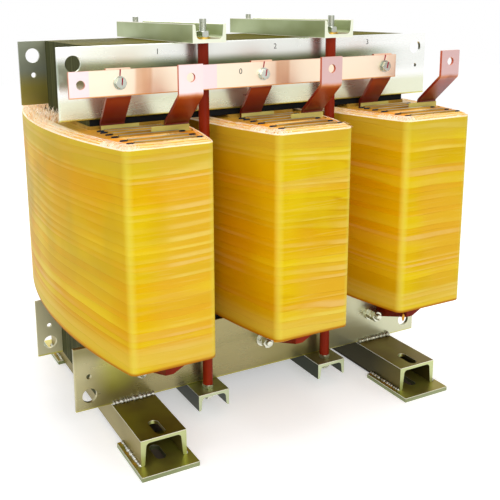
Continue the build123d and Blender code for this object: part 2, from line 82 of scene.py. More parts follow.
# %% [markdown]
# ## Places
# Every place is read from the solid model's own boxes, so the dressing follows it if a size
# changes. Only two aren't there: half the width of a coil's flat front, beyond which its long
# sides bow out in one arc, and half the length of a cooling duct.

# %% Read the main places
PHASES = {"left": -1, "middle": 0, "right": 1}
coil_low, coil_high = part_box("coil_outer_winding_middle")
block_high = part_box("coil_inner_winding_middle")[1]
limb_low, limb_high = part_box("core_limb_right")
PITCH = (limb_low.x + limb_high.x) / 2
HALF_WIDTH, HALF_DEPTH = coil_high.x, coil_high.y
COIL_BASE, COIL_TOP = coil_low.z, coil_high.z
BLOCK_WIDTH, BLOCK_DEPTH = block_high.x, block_high.y
FLAT_HALF = 0.070
BOW = HALF_WIDTH - FLAT_HALF
BOW_RADIUS = (HALF_DEPTH**2 + BOW**2) / (2 * BOW)
SPACER_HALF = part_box("coil_duct_spacers_middle")[1].x
DUCT_HALF = 0.0605
print("pitch", round(PITCH, 4), "coil top", round(COIL_TOP, 4), "bow radius", round(BOW_RADIUS, 3))


def levels(node, axis):
    """The places along one axis where a solid node has corners, from low to high."""
    return sorted({round(v.co[axis], 5) for v in NODES[node].data.vertices})


def loose_parts(node):
    """The lowest and highest corner of every separate solid in a node, from left to right."""
    form = bmesh.new()
    form.from_mesh(NODES[node].data)
    bmesh.ops.remove_doubles(form, verts=form.verts, dist=0.00001)
    left, boxes = set(form.verts), []
    while left:
        found, fresh = set(), {left.pop()}
        while fresh:
            found |= fresh
            fresh = {e.other_vert(v) for v in fresh for e in v.link_edges} - found
        left -= found
        boxes.append([Vector(pick(v.co[a] for v in found) for a in range(3)) for pick in (min, max)])
    form.free()
    return sorted(boxes, key=lambda box: tuple(box[0]))


RIM_HEIGHT = levels("coil_outer_winding_middle", 2)[1]
BOARDS = levels("coil_duct_spacers_middle", 1)
BOARDS = list(zip(BOARDS[::2], BOARDS[1::2]))
print("rim height", RIM_HEIGHT, "boards in a coil", len(BOARDS))

# %% [markdown]
# ## Shader maths as plain expressions
# Writing each Math node by hand hides the idea, so a `Wire` wraps one socket and turns `a * b + 1`
# into the nodes it stands for. `Finish` starts a material, and its `add` makes any other node.

# %% A wire that can be added and multiplied
def by(operation):
    """A method of Wire that makes one Math node."""
    return lambda wire, *others: wire.math(operation, *others)


class Wire:
    def __init__(self, finish, socket):
        self.finish, self.socket = finish, socket

    def math(self, operation, *others):
        return self.finish.add("Math", {"operation": operation}, [self, *others])

    __add__ = __radd__ = by("ADD")
    __mul__ = __rmul__ = by("MULTIPLY")
    __sub__, __truediv__, __abs__ = by("SUBTRACT"), by("DIVIDE"), by("ABSOLUTE")
    most, least, floor, part, whole = map(by, ("MAXIMUM", "MINIMUM", "FLOOR", "FRACT", "ROUND"))

    def __rsub__(self, other):
        return self.finish.add("Math", {"operation": "SUBTRACT"}, [other, self])

    def step(self, start, end):
        """0 before start, 1 after end, with a soft rise between."""
        settings = {"interpolation_type": "SMOOTHSTEP"}
        return self.finish.add("MapRange", settings, {"Value": self, "From Min": start, "From Max": end})


# %% A finish: one material and its nodes
def rgb(red, green, blue):
    """A colour as it looks on a screen, 0 to 255, as the linear value that a shader takes."""
    def linear(value):
        value /= 255
        return value / 12.92 if value <= 0.04045 else ((value + 0.055) / 1.055) ** 2.4
    return (linear(red), linear(green), linear(blue), 1.0)


class Finish:
    def __init__(self, name, **constants):
        self.material = bpy.data.materials.new(name)
        self.material.use_nodes = True
        self.tree = self.material.node_tree
        self.shader = self.tree.nodes["Principled BSDF"]
        for socket, value in constants.items():
            self.shader.inputs[socket.replace("_", " ")].default_value = value
        self.place = self.add("TexCoord", out="Object")
        split = self.add("SeparateXYZ", {}, [self.place]).socket.node
        self.x, self.y, self.z = (Wire(self, socket) for socket in split.outputs)

    def add(self, kind, settings=None, sockets=(), out=0):
        """One node: its settings are set first, and then the values or links of its sockets."""
        node = self.tree.nodes.new("ShaderNode" + kind)
        for name, value in (settings or {}).items():
            if name == "stops":
                stops = node.color_ramp.elements
                stops[0].position, stops[0].color = value[0]
                stops[1].position, stops[1].color = value[-1]
                for position, colour in value[1:-1]:
                    stops.new(position).color = colour
            else:
                setattr(node, name, value)
        pairs = sockets.items() if isinstance(sockets, dict) else enumerate(sockets)
        for name, value in pairs:
            if isinstance(value, Wire):
                self.tree.links.new(value.socket, node.inputs[name])
            else:
                node.inputs[name].default_value = value
        return Wire(self, node.outputs[out])

    def feed(self, **wires):
        for socket, wire in wires.items():
            self.tree.links.new(wire.socket, self.shader.inputs[socket.replace("_", " ")])

    def mix(self, share, first, second):
        """Two colours blended: a Mix node, because a Math node would turn them grey."""
        return self.add("Mix", {"data_type": "RGBA"}, {0: share, 6: first, 7: second}, out=2)

    def over(self, colour, *coats):
        """Coats laid over a colour one by one, each with the share it covers and its own colour."""
        for share, coat in coats:
            colour = self.mix(share, colour, coat)
        return colour

    def noise(self, scale, detail, stretch=(1, 1, 1)):
        """Soft noise from 0 to 1, with the place on the object stretched on each axis first."""
        spot = self.add("VectorMath", {"operation": "MULTIPLY"}, [self.place, stretch])
        return self.add("TexNoise", {}, {"Vector": spot, "Scale": scale, "Detail": detail})

    def stripes(self, place, detail):
        """Noise that changes along one measure only, so it makes stripes across it."""
        sockets = {"W": place, "Scale": 1.0, "Detail": detail}
        return self.add("TexNoise", {"noise_dimensions": "1D"}, sockets)

    def ramp(self, factor, *stops):
        return self.add("ValToRGB", {"stops": stops}, [factor])

    def chance(self, number):
        """A fixed random value from 0 to 1 for each whole number."""
        return self.add("TexWhiteNoise", {"noise_dimensions": "1D"}, {"W": number})

    def bumps(self, height, depth, strength):
        """Height in 0 to 1, and how deep in metres that would be."""
        self.feed(Normal=self.add("Bump", {}, {"Height": height, "Distance": depth, "Strength": strength}))


# %% [markdown]
# ## Camera
# The camera stands to the left of the terminal side and a little above it, with a long lens that
# is shifted to put the object in the middle of the frame.

# %% Set the camera
YAW, PITCH_DOWN, ROLL = (math.radians(a) for a in (26.284, 12.625, -0.913))
CAMERA_AT = (-0.6985, -1.2856, 0.7287)
lens = bpy.data.cameras.new("camera")
lens.sensor_width, lens.lens = 36.0, 55.70
lens.shift_x, lens.shift_y = 0.10, -0.15
camera = put("camera", lens)
camera.matrix_world = Matrix.Translation(CAMERA_AT) @ Matrix.Rotation(-YAW, 4, "Z") @ Matrix.Rotation(
    math.pi / 2 - PITCH_DOWN, 4, "X") @ Matrix.Rotation(ROLL, 4, "Z")
bpy.context.scene.camera = camera
print("lens", lens.lens, "mm")

# %% [markdown]
# ## Light, floor and background
# A large soft lamp in front gives the coils their sheen, and three others keep the shaded faces
# readable. The sky is white where the camera or a reflection looks at it,
# and lights everything else a little less. The floor is dark right under the feet, so that
# nothing bright shows through their slots.

# %% Set the lamps
def lamp(name, place, aim, size, power):
    light = bpy.data.lights.new(name, "AREA")
    light.shape, light.size, light.size_y, light.energy = "RECTANGLE", size[0], size[1], power
    holder = put(name, light)
    holder.location = place
    holder.rotation_euler = (Vector(aim) - Vector(place)).to_track_quat("-Z", "Y").to_euler()


lamp("front_softbox", (-0.5, -2.7, 1.6), (0, 0, 0.35), (1.8, 1.2), 24)
lamp("left_softbox", (-2.4, -0.9, 1.3), (0, 0, 0.35), (1.2, 1.2), 7)
lamp("top_softbox", (0.2, 0.1, 2.6), (0, 0, 0.5), (1.8, 1.4), 20)
lamp("back_softbox", (0.3, 2.6, 1.5), (0, 0, 0.4), (1.6, 1.2), 16)

# %% Set the sky and the floor
world = bpy.data.worlds.new("sky")
bpy.context.scene.world = world
world.use_nodes = True
sky = world.node_tree


def either(first, second):
    """1 where one of two sockets of the sky's graph is 1, or both are."""
    total = sky.nodes.new("ShaderNodeMath")
    total.operation, total.use_clamp = "ADD", True
    sky.links.new(first, total.inputs[0])
    sky.links.new(second, total.inputs[1])
    return total.outputs[0]


looks = sky.nodes.new("ShaderNodeLightPath").outputs
seen = either(looks["Is Camera Ray"], either(looks["Is Glossy Ray"], looks["Is Transmission Ray"]))
strength = sky.nodes.new("ShaderNodeMapRange")
strength.inputs["To Min"].default_value, strength.inputs["To Max"].default_value = 0.68, 1.0
sky.links.new(seen, strength.inputs["Value"])
background = sky.nodes["Background"]
background.inputs["Color"].default_value = (1, 1, 1, 1)
sky.links.new(strength.outputs[0], background.inputs["Strength"])

floor_mesh = bpy.data.meshes.new("floor")
FLOOR = 6.0
corners = [(x * FLOOR, y * FLOOR, 0) for x, y in ((-1, -1), (1, -1), (1, 1), (-1, 1))]
floor_mesh.from_pydata(corners, [], [(0, 1, 2, 3)])
floor = put("floor", floor_mesh)
floor_finish = Finish("pale_floor", Roughness=0.9, Specular_IOR_Level=0.1, Emission_Strength=1.0)
by_camera = floor_finish.add("LightPath", out="Is Camera Ray")
seen_floor = by_camera.most(floor_finish.add("LightPath", out="Is Glossy Ray"))
plate_low, plate_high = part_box("base_plate_front_right")
foot_low, foot_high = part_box("foot_channel_right")
# Seen from above, a slot's floor lies a little to the side of the slot.
SLOT_SHIFT = 0.005


def beyond(place, low, high):
    """0 between two places on one axis or its mirror side, and 1 outside them."""
    return abs(abs(place) - abs(low + high) / 2).step(abs(high - low) / 2 - 0.003, abs(high - low) / 2)


# Painted shadow: under the base plates and the foot channels the floor turns dark and gives no glow.
by_plates = beyond(floor_finish.x, plate_low.x, plate_high.x).most(
    beyond(floor_finish.y, plate_low.y, plate_high.y))
by_channels = beyond(floor_finish.x - SLOT_SHIFT, foot_low.x, foot_high.x).most(
    beyond(floor_finish.y, plate_low.y, -plate_low.y))
open_floor = by_plates * by_channels
floor_finish.feed(
    Base_Color=floor_finish.mix(open_floor, (0.10, 0.08, 0.06, 1), (0.86, 0.86, 0.86, 1)),
    Emission_Color=floor_finish.mix(seen_floor * open_floor, (0, 0, 0, 1), (0.42, 0.42, 0.42, 1)))
floor_mesh.materials.append(floor_finish.material)
bpy.context.scene.view_settings.view_transform = "Standard"

# %% [markdown]
# ## Glass tape soaked in amber resin
# The coils are wrapped in woven glass tape, one overlapping turn above the next, and then dipped.
# The tape's steps are thinner than a millimetre, so bands of colour and a fine bump carry them. A band
# number from the height gives each turn its own shade, and the rim on top is paler. Painted highlights run
# up the vertical corners and along some laps, painted shade darkens the sides in a neighbour's shadow, and
# the top glows faintly as painted light.

# %% The coil's own measures inside a shader
def coil_measures(finish, half_width, half_depth):
    """A place's coil, -1 to 1, and how far the place is from a long side, an end and the nearer."""
    turn = (finish.x / PITCH).whole()
    across = abs(finish.x - turn * PITCH)
    depth = abs(finish.y)
    reach = (BOW_RADIUS**2 - depth * depth).math("SQRT") + (half_width - BOW_RADIUS)
    side, end = reach - across, half_depth - depth
    return turn, side, end, side.least(end)


# %% The wrapped sides
TAPE_PITCH = 0.0145


def facing(finish, axis):
    """How much the surface faces along one axis: 1 straight along it, and -1 straight against it."""
    return finish.add("SeparateXYZ", {}, [finish.add("NewGeometry", out="Normal")], out=axis)


def taped_sides(finish, turn, side, end, cloud, sway, to_front):
    """The colour of the wrapped sides, and the height of their laps, threads and lumps."""
    tilt = finish.noise(1.3, 1.0)
    uneven = finish.stripes(finish.z * 30.0 + turn * 7.0, 1.0)
    wound = finish.z + sway * 0.034 + tilt * 0.05 + turn * 0.003 + uneven * 0.026
    band = wound / TAPE_PITCH
    number, place_in_band = band.floor(), band.part()
    shade = finish.chance(number + turn * 37.0)
    broad = finish.chance(number * 3.0 + turn * 11.0 + 5.0)
    lap = place_in_band.step(0.0, 0.08) * (1 - place_in_band.step(0.92, 1.0))
    # Broad clouds of amber and yellow, and a shade of its own for each turn of tape.
    colour = finish.ramp(
        finish.noise(1.0, 2.0, (3, 3, 22)), (0.32, rgb(206, 160, 0)), (0.44, rgb(218, 174, 0)),
        (0.56, rgb(228, 190, 0)), (0.68, rgb(238, 210, 16)))
    amber = finish.ramp(
        shade, (0.0, rgb(230, 156, 0)), (0.3, rgb(226, 174, 0)), (0.6, rgb(210, 178, 4)),
        (0.8, rgb(238, 210, 24)), (1.0, rgb(230, 182, 36)))
    left_part = 1 - (finish.x - turn * PITCH + sway * 0.03).step(-0.040, 0.010)
    right_part = (1 - left_part) * cloud.step(0.40, 0.60)
    # The pinkish bands and the pale threads are painted highlights, stronger on the front faces.
    pinkish_highlight = finish.noise(1.7, 2.0, (1, 1, 16)).step(0.54, 0.63)
    thread = finish.noise(60.0, 2.0, (0.2, 0.2, 7.0))
    colour = finish.over(
        colour, (0.55, amber),
        (cloud.step(0.52, 0.70) * 0.5, rgb(226, 158, 0)),
        ((1 - cloud).step(0.52, 0.68) * 0.4, rgb(234, 212, 32)),
        (place_in_band * 0.22, rgb(196, 134, 0)),
        (to_front * left_part * 0.3, rgb(236, 210, 20)),
        (to_front * right_part * 0.4, rgb(230, 186, 62)),
        (pinkish_highlight * (0.08 + to_front * 0.24), rgb(226, 184, 96)),
        (thread.step(0.54, 0.78) * (0.06 + to_front * 0.14), rgb(240, 214, 120)))
    # A painted highlight where one turn laps the next, in some turns and only for part of the way, stronger
    # on the front faces.
    along = finish.noise(7.0, 3.0, (1, 1, 0.3)).step(0.38, 0.62)
    lap_highlight = place_in_band.step(0.0, 0.16) * (1 - (place_in_band - broad * 0.30).step(0.12, 0.40))
    lap_highlight = lap_highlight * broad.step(0.10, 0.85) * (0.12 + along * 0.58) * (0.6 + to_front * 0.4)
    thin = (1 - lap) * finish.noise(9.0, 2.0, (1, 1, 0.3)).step(0.46, 0.66)
    # Painted shade and bounced light: duller or deeper where a coil is in the shade of its neighbour or of
    # the upper clamp, a deeper amber on the sides that face a neighbour, darker low in the gap and deeper on
    # the left coil's outer side.
    dusk = finish.noise(5.0, 3.0, (1, 1, 0.7)).step(0.48, 0.62)
    dusk = dusk * (-1 * finish.x).step(0.31, 0.35) * finish.z.step(0.25, 0.36)
    in_gap = (-1 * facing(finish, 0)).step(0.3, 0.7) * turn.step(-0.8, -0.2)
    low_in_gap = in_gap * (1 - (finish.z + sway * 0.04).step(COIL_BASE, COIL_BASE + 0.17))
    outer_side = (1 - to_front) * (1 - turn.step(-0.8, -0.2)) * (1 - finish.y.step(-0.10, 0.06))
    # Painted highlight: a pale strip up each vertical corner.
    corner = 1 - side.most(end).step(0.001, 0.012)
    low_band = 1 - abs(finish.z + sway * 0.01 - (COIL_BASE + 0.026)).step(0.006, 0.022)
    foot_line = 1 - finish.z.step(COIL_BASE + 0.001, COIL_BASE + 0.006)
    colour = finish.over(
        colour, (lap_highlight, finish.mix(shade, rgb(234, 194, 116), rgb(238, 216, 96))),
        (thin * 0.4, rgb(186, 122, 0)),
        (dusk * 0.5, rgb(178, 156, 48)),
        (in_gap * 0.38, rgb(244, 172, 0)),
        (low_in_gap * 0.5, rgb(176, 122, 0)),
        (outer_side * 0.3, rgb(216, 166, 0)),
        (corner * (0.25 + sway * 0.5), rgb(230, 218, 86)),
        (finish.z.step(COIL_TOP - 0.060, COIL_TOP - 0.022) * 0.45, rgb(200, 178, 62)),
        (low_band * 0.4, rgb(226, 204, 78)),
        (foot_line * 0.85, rgb(172, 98, 4)))
    return colour, lap * 0.5 + thread * 0.2 + cloud * 0.6


# %% The cut layers on top, and the whole coil
def cut_layers(finish, side, inset):
    """The top of a coil: cut layers of glass, paler at the rim, with amber beside the ducts."""
    layers = finish.stripes(inset * 430.0 + finish.noise(7.0, 3.0) * 3.0, 3.0)
    streak = finish.noise(14.0, 3.0).step(0.40, 0.60)
    at_front = 1 - finish.y.step(-0.21, -0.12)
    by_side = side.step(0.006, 0.014) * (1 - side.step(0.034, 0.044))
    by_side = by_side * at_front * finish.y.step(-0.275, -0.262)
    washed = finish.noise(5.0, 2.0).step(0.34, 0.54) * finish.y.step(-0.16, -0.04)
    rim = 1 - inset.step(0.0018, 0.0036)
    top = finish.ramp(
        layers, (0.28, rgb(214, 144, 30)), (0.42, rgb(234, 178, 74)), (0.54, rgb(246, 212, 130)),
        (0.72, rgb(254, 238, 190)))
    top = finish.over(
        top, (streak * inset.step(0.010, 0.022) * (0.2 + at_front * 0.3), rgb(222, 136, 12)),
        (by_side * (0.5 + streak * 0.4), rgb(234, 146, 14)),
        (washed * layers.step(0.30, 0.46) * 0.85, rgb(255, 240, 204)),
        (rim * 0.95, rgb(254, 238, 196)))
    return top, layers


def taped_coil(name):
    finish = Finish(name, IOR=1.4, Specular_IOR_Level=0.06, Emission_Strength=0.10)
    turn, side, end, inset = coil_measures(finish, HALF_WIDTH, HALF_DEPTH)
    cloud = finish.noise(6.0, 3.0)
    sway = finish.noise(2.6, 2.0, (1, 1, 0.5))
    to_front = abs(facing(finish, 1)).step(0.6, 0.95)
    colour, relief = taped_sides(finish, turn, side, end, cloud, sway, to_front)
    top, layers = cut_layers(finish, side, inset)
    up_facing = facing(finish, 2).step(0.25, 0.6)
    # The top glows faintly in its own colour: painted light standing in for light that the glass fibre lets
    # through, so the cut edges on top never look dark.
    finish.feed(
        Base_Color=finish.mix(up_facing, colour, top),
        Emission_Color=finish.mix(up_facing, (0, 0, 0, 1), top),
        Roughness=0.34 + cloud * 0.14 + up_facing * 0.16)
    finish.bumps(relief + up_facing * layers * 1.2, 0.0007, 0.7)
    return finish.material


TAPED = taped_coil("resin_soaked_tape")
print("tape nodes:", len(TAPED.node_tree.nodes))

# %% [markdown]
# ## The layered block inside each coil
# The top of the inner winding shows the cut edges of insulation and conductor, packed in layers
# that follow its outline. Stripes of noise give those layers, and resin has filled them.

# %% The layered block
def layered_block(name):
    finish = Finish(name, Coat_Roughness=0.2, IOR=1.45)
    side, inset = coil_measures(finish, BLOCK_WIDTH, BLOCK_DEPTH)[1::2]
    drift = finish.noise(4.0, 2.0)
    lines = finish.stripes(inset * 380.0 + drift * 3.0, 3.0)
    patch = finish.noise(9.0, 3.0).step(0.45, 0.7)
    by_side = (1 - side.step(0.010, 0.040)) * (1 - finish.y.step(-0.20, -0.08))
    colour = finish.ramp(
        lines, (0.28, rgb(172, 118, 16)), (0.42, rgb(204, 152, 36)), (0.55, rgb(218, 176, 64)),
        (0.72, rgb(230, 200, 108)))
    colour = finish.over(
        colour, (patch * 0.5, rgb(216, 144, 14)), (by_side * (0.45 + drift * 0.4), rgb(238, 152, 22)))
    finish.feed(Base_Color=colour, Roughness=0.34 + patch * 0.2, Coat_Weight=0.2 * (1 - patch))
    finish.bumps(lines + patch * 0.4, 0.0009, 0.8)
    return finish.material


BLOCK = layered_block("layered_insulation")

# %% [markdown]
# ## Zinc on flat steel
# Zinc has a thin film that is silver in one place and grey-green in the next. Broad soft clouds change its
# tint and roughness, and fine lines run along the plate where it was rolled. On the two upper clamps a band
# at a set height is a painted reflection. A yellower line along the bottom edge and bright lines along some
# top edges are painted highlights, and the left sides of the low channels and of the right foot carry a
# painted dark reflection of the shade under the core.

# %% Zinc finishes
def near(place, middle, full, none):
    """1 within one distance of a place on an axis, and 0 beyond another."""
    return 1 - abs(place - middle).step(full, none)


def toned(colour, red, green, blue):
    """A colour with each of its parts made weaker."""
    return colour[0] * red, colour[1] * green, colour[2] * blue, 1.0


def zinc(name, tint, film_and_reflection, film_share, rough, metal=1.0, lid=None, ends=None, reflection_band_at=None, strips=(),
         highlight_edges=(), recoloured=(), flank=None, welded=None):
    """Zinc: its tint, filmy clouds over it that are mostly a painted reflection band where that band's
    height is given, and other colours on tops, sawn ends, strips and edges, some of them painted highlights
    and reflections.
    """
    finish = Finish(name, Metallic=metal)
    clouds = finish.noise(5.0, 3.0, (0.55, 1, 1.6))
    cloudy = clouds.step(0.40, 0.62)
    # Painted reflection: mostly a band at the given height, fading out towards the right end.
    if reflection_band_at:
        middle, spread = reflection_band_at
        cloudy = cloudy * 0.2 + near(finish.z + clouds * 0.03, middle + 0.015, spread * 0.4, spread) * 0.8
        cloudy = cloudy * (1 - finish.x.step(0.20, 0.32) * 0.85)
    fine = finish.noise(160.0, 3.0, (0.12, 1, 1))
    up_facing = facing(finish, 2)
    coats = [
        (cloudy * film_share, film_and_reflection),
        (finish.noise(3.4, 2.0, (1, 1, 0.6)).step(0.50, 0.66) * 0.3, toned(tint, 0.98, 0.96, 0.62)),
        (finish.noise(26.0, 4.0).step(0.62, 0.8) * 0.25, toned(tint, 0.5, 0.5, 0.5))]
    if lid:
        worn = finish.noise(8.0, 3.0).step(0.38, 0.60)
        coats.append((up_facing.step(0.6, 0.95), finish.mix(worn, lid, toned(lid, 0.72, 0.58, 0.75))))
    if ends:
        coats.append((abs(facing(finish, 1)).step(0.8, 0.98) * (0.85 + cloudy * 0.15), ends))
    # Painted reflection: faces turned to the left go dark, mirroring the shade under the core, darkest
    # towards the back.
    if flank:
        flank_colour, from_x = flank
        to_left = (-1 * facing(finish, 0)).step(0.5, 0.9) * finish.x.step(from_x, from_x + 0.01)
        coats.append((to_left * (0.5 + finish.y.step(-0.262, -0.16) * 0.4), flank_colour))
    # Round soft patches of another colour, strongest at their middle.
    for x, z, spread, patch_colour in recoloured:
        across, rise = (finish.x - x) / spread, (finish.z + clouds * 0.02 - z - 0.01) / spread
        coats.append(((1 - (across * across + rise * rise).step(0.0, 1.0)) * 0.6, patch_colour))
    for height, full, none, share, strip in strips:
        coats.append((near(finish.z, height, full, none) * share, strip))
    # Painted highlights: a bright line along each given edge height.
    for height in highlight_edges:
        edge = near(finish.z, height, 0.0007, 0.0010) * (1 - up_facing.step(0.93, 0.99))
        coats.append((edge, rgb(246, 244, 226)))
    if welded:
        # A strip beside each weld along a foot is burnt orange.
        middle, half, far = welded
        burnt = near(abs(abs(finish.x) - middle), half + 0.005, 0.0015, 0.005)
        burnt = burnt * up_facing.step(0.6, 0.95) * finish.noise(40.0, 2.0).step(0.35, 0.6)
        burnt = burnt * (1 - abs(finish.y).step(far - 0.010, far - 0.002))
        coats.append((burnt * 0.8, rgb(214, 160, 26)))
    finish.feed(Base_Color=finish.over(tint, *coats), Roughness=rough + clouds * 0.16 + fine * 0.05)
    finish.bumps(fine * 0.5 + clouds * 0.5, 0.00006, 0.6)
    return finish.material


# %% The zinc of each piece
def bottom(node):
    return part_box(node)[0].z


def top(node):
    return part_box(node)[1].z


def yellow_edge(height, share=0.85):
    # A painted highlight: a yellow line along a bottom edge.
    return height, 0.0014, 0.0042, share, rgb(204, 198, 74)


bar_low, bar_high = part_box("neutral_bar")
CLAMP_END, LOWER_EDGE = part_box("lower_clamp_front")[0].x, bottom("lower_clamp_front")
UPPER_EDGE = bottom("upper_clamp_front")
# A grey-green band at the bar's height and a pale strip just above the bottom edge are painted reflections.
UPPER_ZINC = zinc(
    "silver_upper_clamp", rgb(254, 255, 252), rgb(126, 142, 104), 0.95, 0.16, metal=0.9,
    reflection_band_at=((bar_low.z + bar_high.z) / 2 + 0.010, 0.030),
    strips=[(UPPER_EDGE + 0.016, 0.010, 0.026, 0.6, rgb(222, 226, 180)), yellow_edge(UPPER_EDGE)])
# The olive band along the bottom is a painted reflection of the coils below.
BACK_ZINC = zinc(
    "olive_back_clamp", rgb(150, 156, 140), rgb(172, 158, 54), 0.95, 0.24, metal=0.8,
    reflection_band_at=(bottom("upper_clamp_back") + 0.004, 0.060))
LOWER_ZINC = zinc(
    "beige_lower_clamp", rgb(158, 150, 108), rgb(116, 112, 72), 0.8, 0.18, metal=0.85,
    strips=[yellow_edge(LOWER_EDGE, 0.5)], recoloured=[
        (CLAMP_END + 0.075, LOWER_EDGE + 0.062, 0.05, rgb(200, 200, 92)),
        (CLAMP_END + 0.010, LOWER_EDGE + 0.050, 0.06, rgb(206, 200, 160)),
        (-CLAMP_END - 0.060, LOWER_EDGE + 0.050, 0.20, rgb(232, 236, 208))])
LOWER_BACK_ZINC = zinc(
    "pale_lower_back_clamp", rgb(206, 202, 166), rgb(178, 172, 128), 0.7, 0.3, metal=0.45,
    strips=[yellow_edge(bottom("lower_clamp_back"))])
UPPER_CHANNEL_ZINC = zinc(
    "mint_upper_channel", rgb(176, 188, 144), rgb(142, 152, 98), 0.7, 0.24, metal=0.8,
    lid=rgb(206, 206, 156), ends=rgb(240, 244, 222),
    highlight_edges=[top("upper_cross_channel_left"), bottom("upper_cross_channel_left")])
LOWER_CHANNEL_ZINC = zinc(
    "grey_green_lower_channel", rgb(150, 160, 124), rgb(112, 120, 86), 0.8, 0.24, metal=0.8,
    lid=rgb(154, 162, 92), ends=rgb(206, 216, 178), highlight_edges=[top("lower_cross_channel_left")],
    flank=(rgb(34, 38, 28), -1.0))
FOOT_ZINC = zinc(
    "olive_zinc_foot", rgb(152, 138, 74), rgb(122, 110, 46), 0.8, 0.24, metal=0.8,
    lid=rgb(132, 124, 28), ends=rgb(196, 206, 150), highlight_edges=[top("foot_channel_left")],
    flank=(rgb(42, 40, 22), 0.0))
FOOT_MIDDLE, FOOT_HALF = (foot_low.x + foot_high.x) / 2, (foot_high.x - foot_low.x) / 2
BASE_ZINC = zinc(
    "yellow_green_base_plate", rgb(150, 158, 118), rgb(120, 128, 84), 0.8, 0.26, metal=0.8,
    lid=rgb(176, 176, 74), highlight_edges=[top("base_plate_front_left")],
    welded=(FOOT_MIDDLE, FOOT_HALF, foot_high.y))
BRIGHT_ZINC = zinc("bright_zinc_fastener", rgb(226, 228, 218), rgb(140, 146, 130), 0.8, 0.16)
YELLOW_ZINC = zinc("yellow_zinc_washer", rgb(236, 210, 110), rgb(222, 168, 60), 0.8, 0.2)

# %% [markdown]
# ## Core steel
# The edges of several hundred thin sheets show as fine lines along the core, so the stripes
# depend only on the depth. Varnish has turned the top olive, and the outer faces are nearly black.

# %% Core sheets
def core_sheets(name):
    finish = Finish(name, Specular_IOR_Level=0.02)
    to_front = abs(facing(finish, 1)).step(0.6, 0.9)
    upward_face = facing(finish, 2).step(0.5, 0.9)
    sheets, bundles = (finish.stripes(finish.y * rate, 2.0) for rate in (900.0, 90.0))
    smear = finish.noise(9.0, 4.0, (0.4, 1, 1))
    olive = finish.ramp(
        bundles * 0.4 + smear * 0.6, (0.34, rgb(56, 54, 8)), (0.46, rgb(84, 80, 16)),
        (0.56, rgb(98, 92, 22)), (0.68, rgb(118, 110, 44)))
    dark = finish.ramp(bundles, (0.3, rgb(58, 60, 38)), (0.6, rgb(82, 84, 54)), (0.8, rgb(98, 98, 66)))
    # Painted reflection of the coils below: yellow olive along the bottom of the upper yoke.
    runs = near(finish.z, bottom("core_yoke_upper"), 0.004, 0.040) * smear.step(0.35, 0.55)
    colour = finish.over(
        dark, (runs * 0.7, rgb(104, 90, 12)), (upward_face, olive), (to_front, rgb(30, 32, 34)))
    finish.feed(Base_Color=colour, Roughness=0.5 + smear * 0.2)
    finish.bumps(sheets * (1 - to_front), 0.0004, 0.7)
    return finish.material


CORE = core_sheets("core_sheet_edges")

# %% [markdown]
# ## Copper
# The bar is clean copper, so pale that it looks cream, with a few tan patches and orange sawn
# edges. The slanted parts of the leads were dipped with the coil, which leaves them a dark glossy
# red-brown that is deepest at the foot, with a ragged line above it. Two of the three terminal
# tabs are duller and more mauve than the first.

# %% Copper finishes
def copper(name, foot, knee, at_knee, clean, patch=None, lower_edge=None, mauve=None, contacts=()):
    """Bare above the knee and varnished below it, with what a bar or a lead has of its own on top."""
    finish = Finish(name, Coat_Roughness=0.14)
    drift = finish.noise(7.0, 3.0)
    fine = finish.noise(220.0, 2.0, (0.1, 1, 1))
    bare = finish.ramp(drift, (0.34, clean), (0.66, toned(clean, 1.0, 0.94, 0.9)))
    bay = (finish.x / PITCH).whole()
    if mauve:
        bare = finish.mix(bay.step(-0.9, 0.1) * 0.8, bare, mauve)
    if patch:
        middle, half = patch
        tan = near(finish.x - bay * PITCH + (drift - 0.5) * 0.012, middle, half - 0.003, half + 0.004)
        tan = tan * (0.45 + finish.noise(60.0, 2.0, (1, 1, 0.05)) * 0.5)
        bare = finish.mix(tan, bare, rgb(224, 176, 132))
    for start, end in contacts:
        scrubbed = near(finish.x, (start + end) / 2, (end - start) / 2 - 0.0015, (end - start) / 2)
        bare = finish.mix(scrubbed * 0.85, bare, rgb(242, 222, 228))
    sawn = 1 - abs(facing(finish, 1)).step(0.3, 0.75)
    if lower_edge:
        sawn = sawn.most(near(finish.z, lower_edge, 0.0010, 0.0020))
    sawn_colour = finish.mix(facing(finish, 2).step(0.1, 0.6), rgb(222, 142, 30), rgb(226, 132, 76))
    sawn_colour = finish.mix(abs(facing(finish, 0)).step(0.5, 0.9), sawn_colour, rgb(204, 84, 40))
    bare = finish.mix(sawn * 0.9, bare, sawn_colour)
    ragged = finish.z + (finish.noise(60.0, 3.0) - 0.5) * 0.003
    height = (ragged - foot) / (knee - foot)
    red = finish.ramp(
        height, (0.0, rgb(78, 8, 0)), (0.3, rgb(106, 16, 2)), (0.7, rgb(134, 32, 5)),
        (0.88, rgb(152, 50, 12)), (1.0, at_knee))
    red = finish.mix(finish.noise(24.0, 3.0).step(0.5, 0.7) * 0.4, red, rgb(96, 14, 2))
    bare_here = ragged.step(knee - 0.002, knee + 0.005)
    finish.feed(
        Base_Color=finish.mix(bare_here, red, bare), Metallic=0.1 + bare_here * (1 - sawn * 0.8) * 0.75,
        Roughness=0.26 + fine * 0.08 + drift * 0.1, Coat_Weight=0.2 * (1 - bare_here))
    finish.bumps(fine + drift, 0.0001, 0.5)
    return finish.material


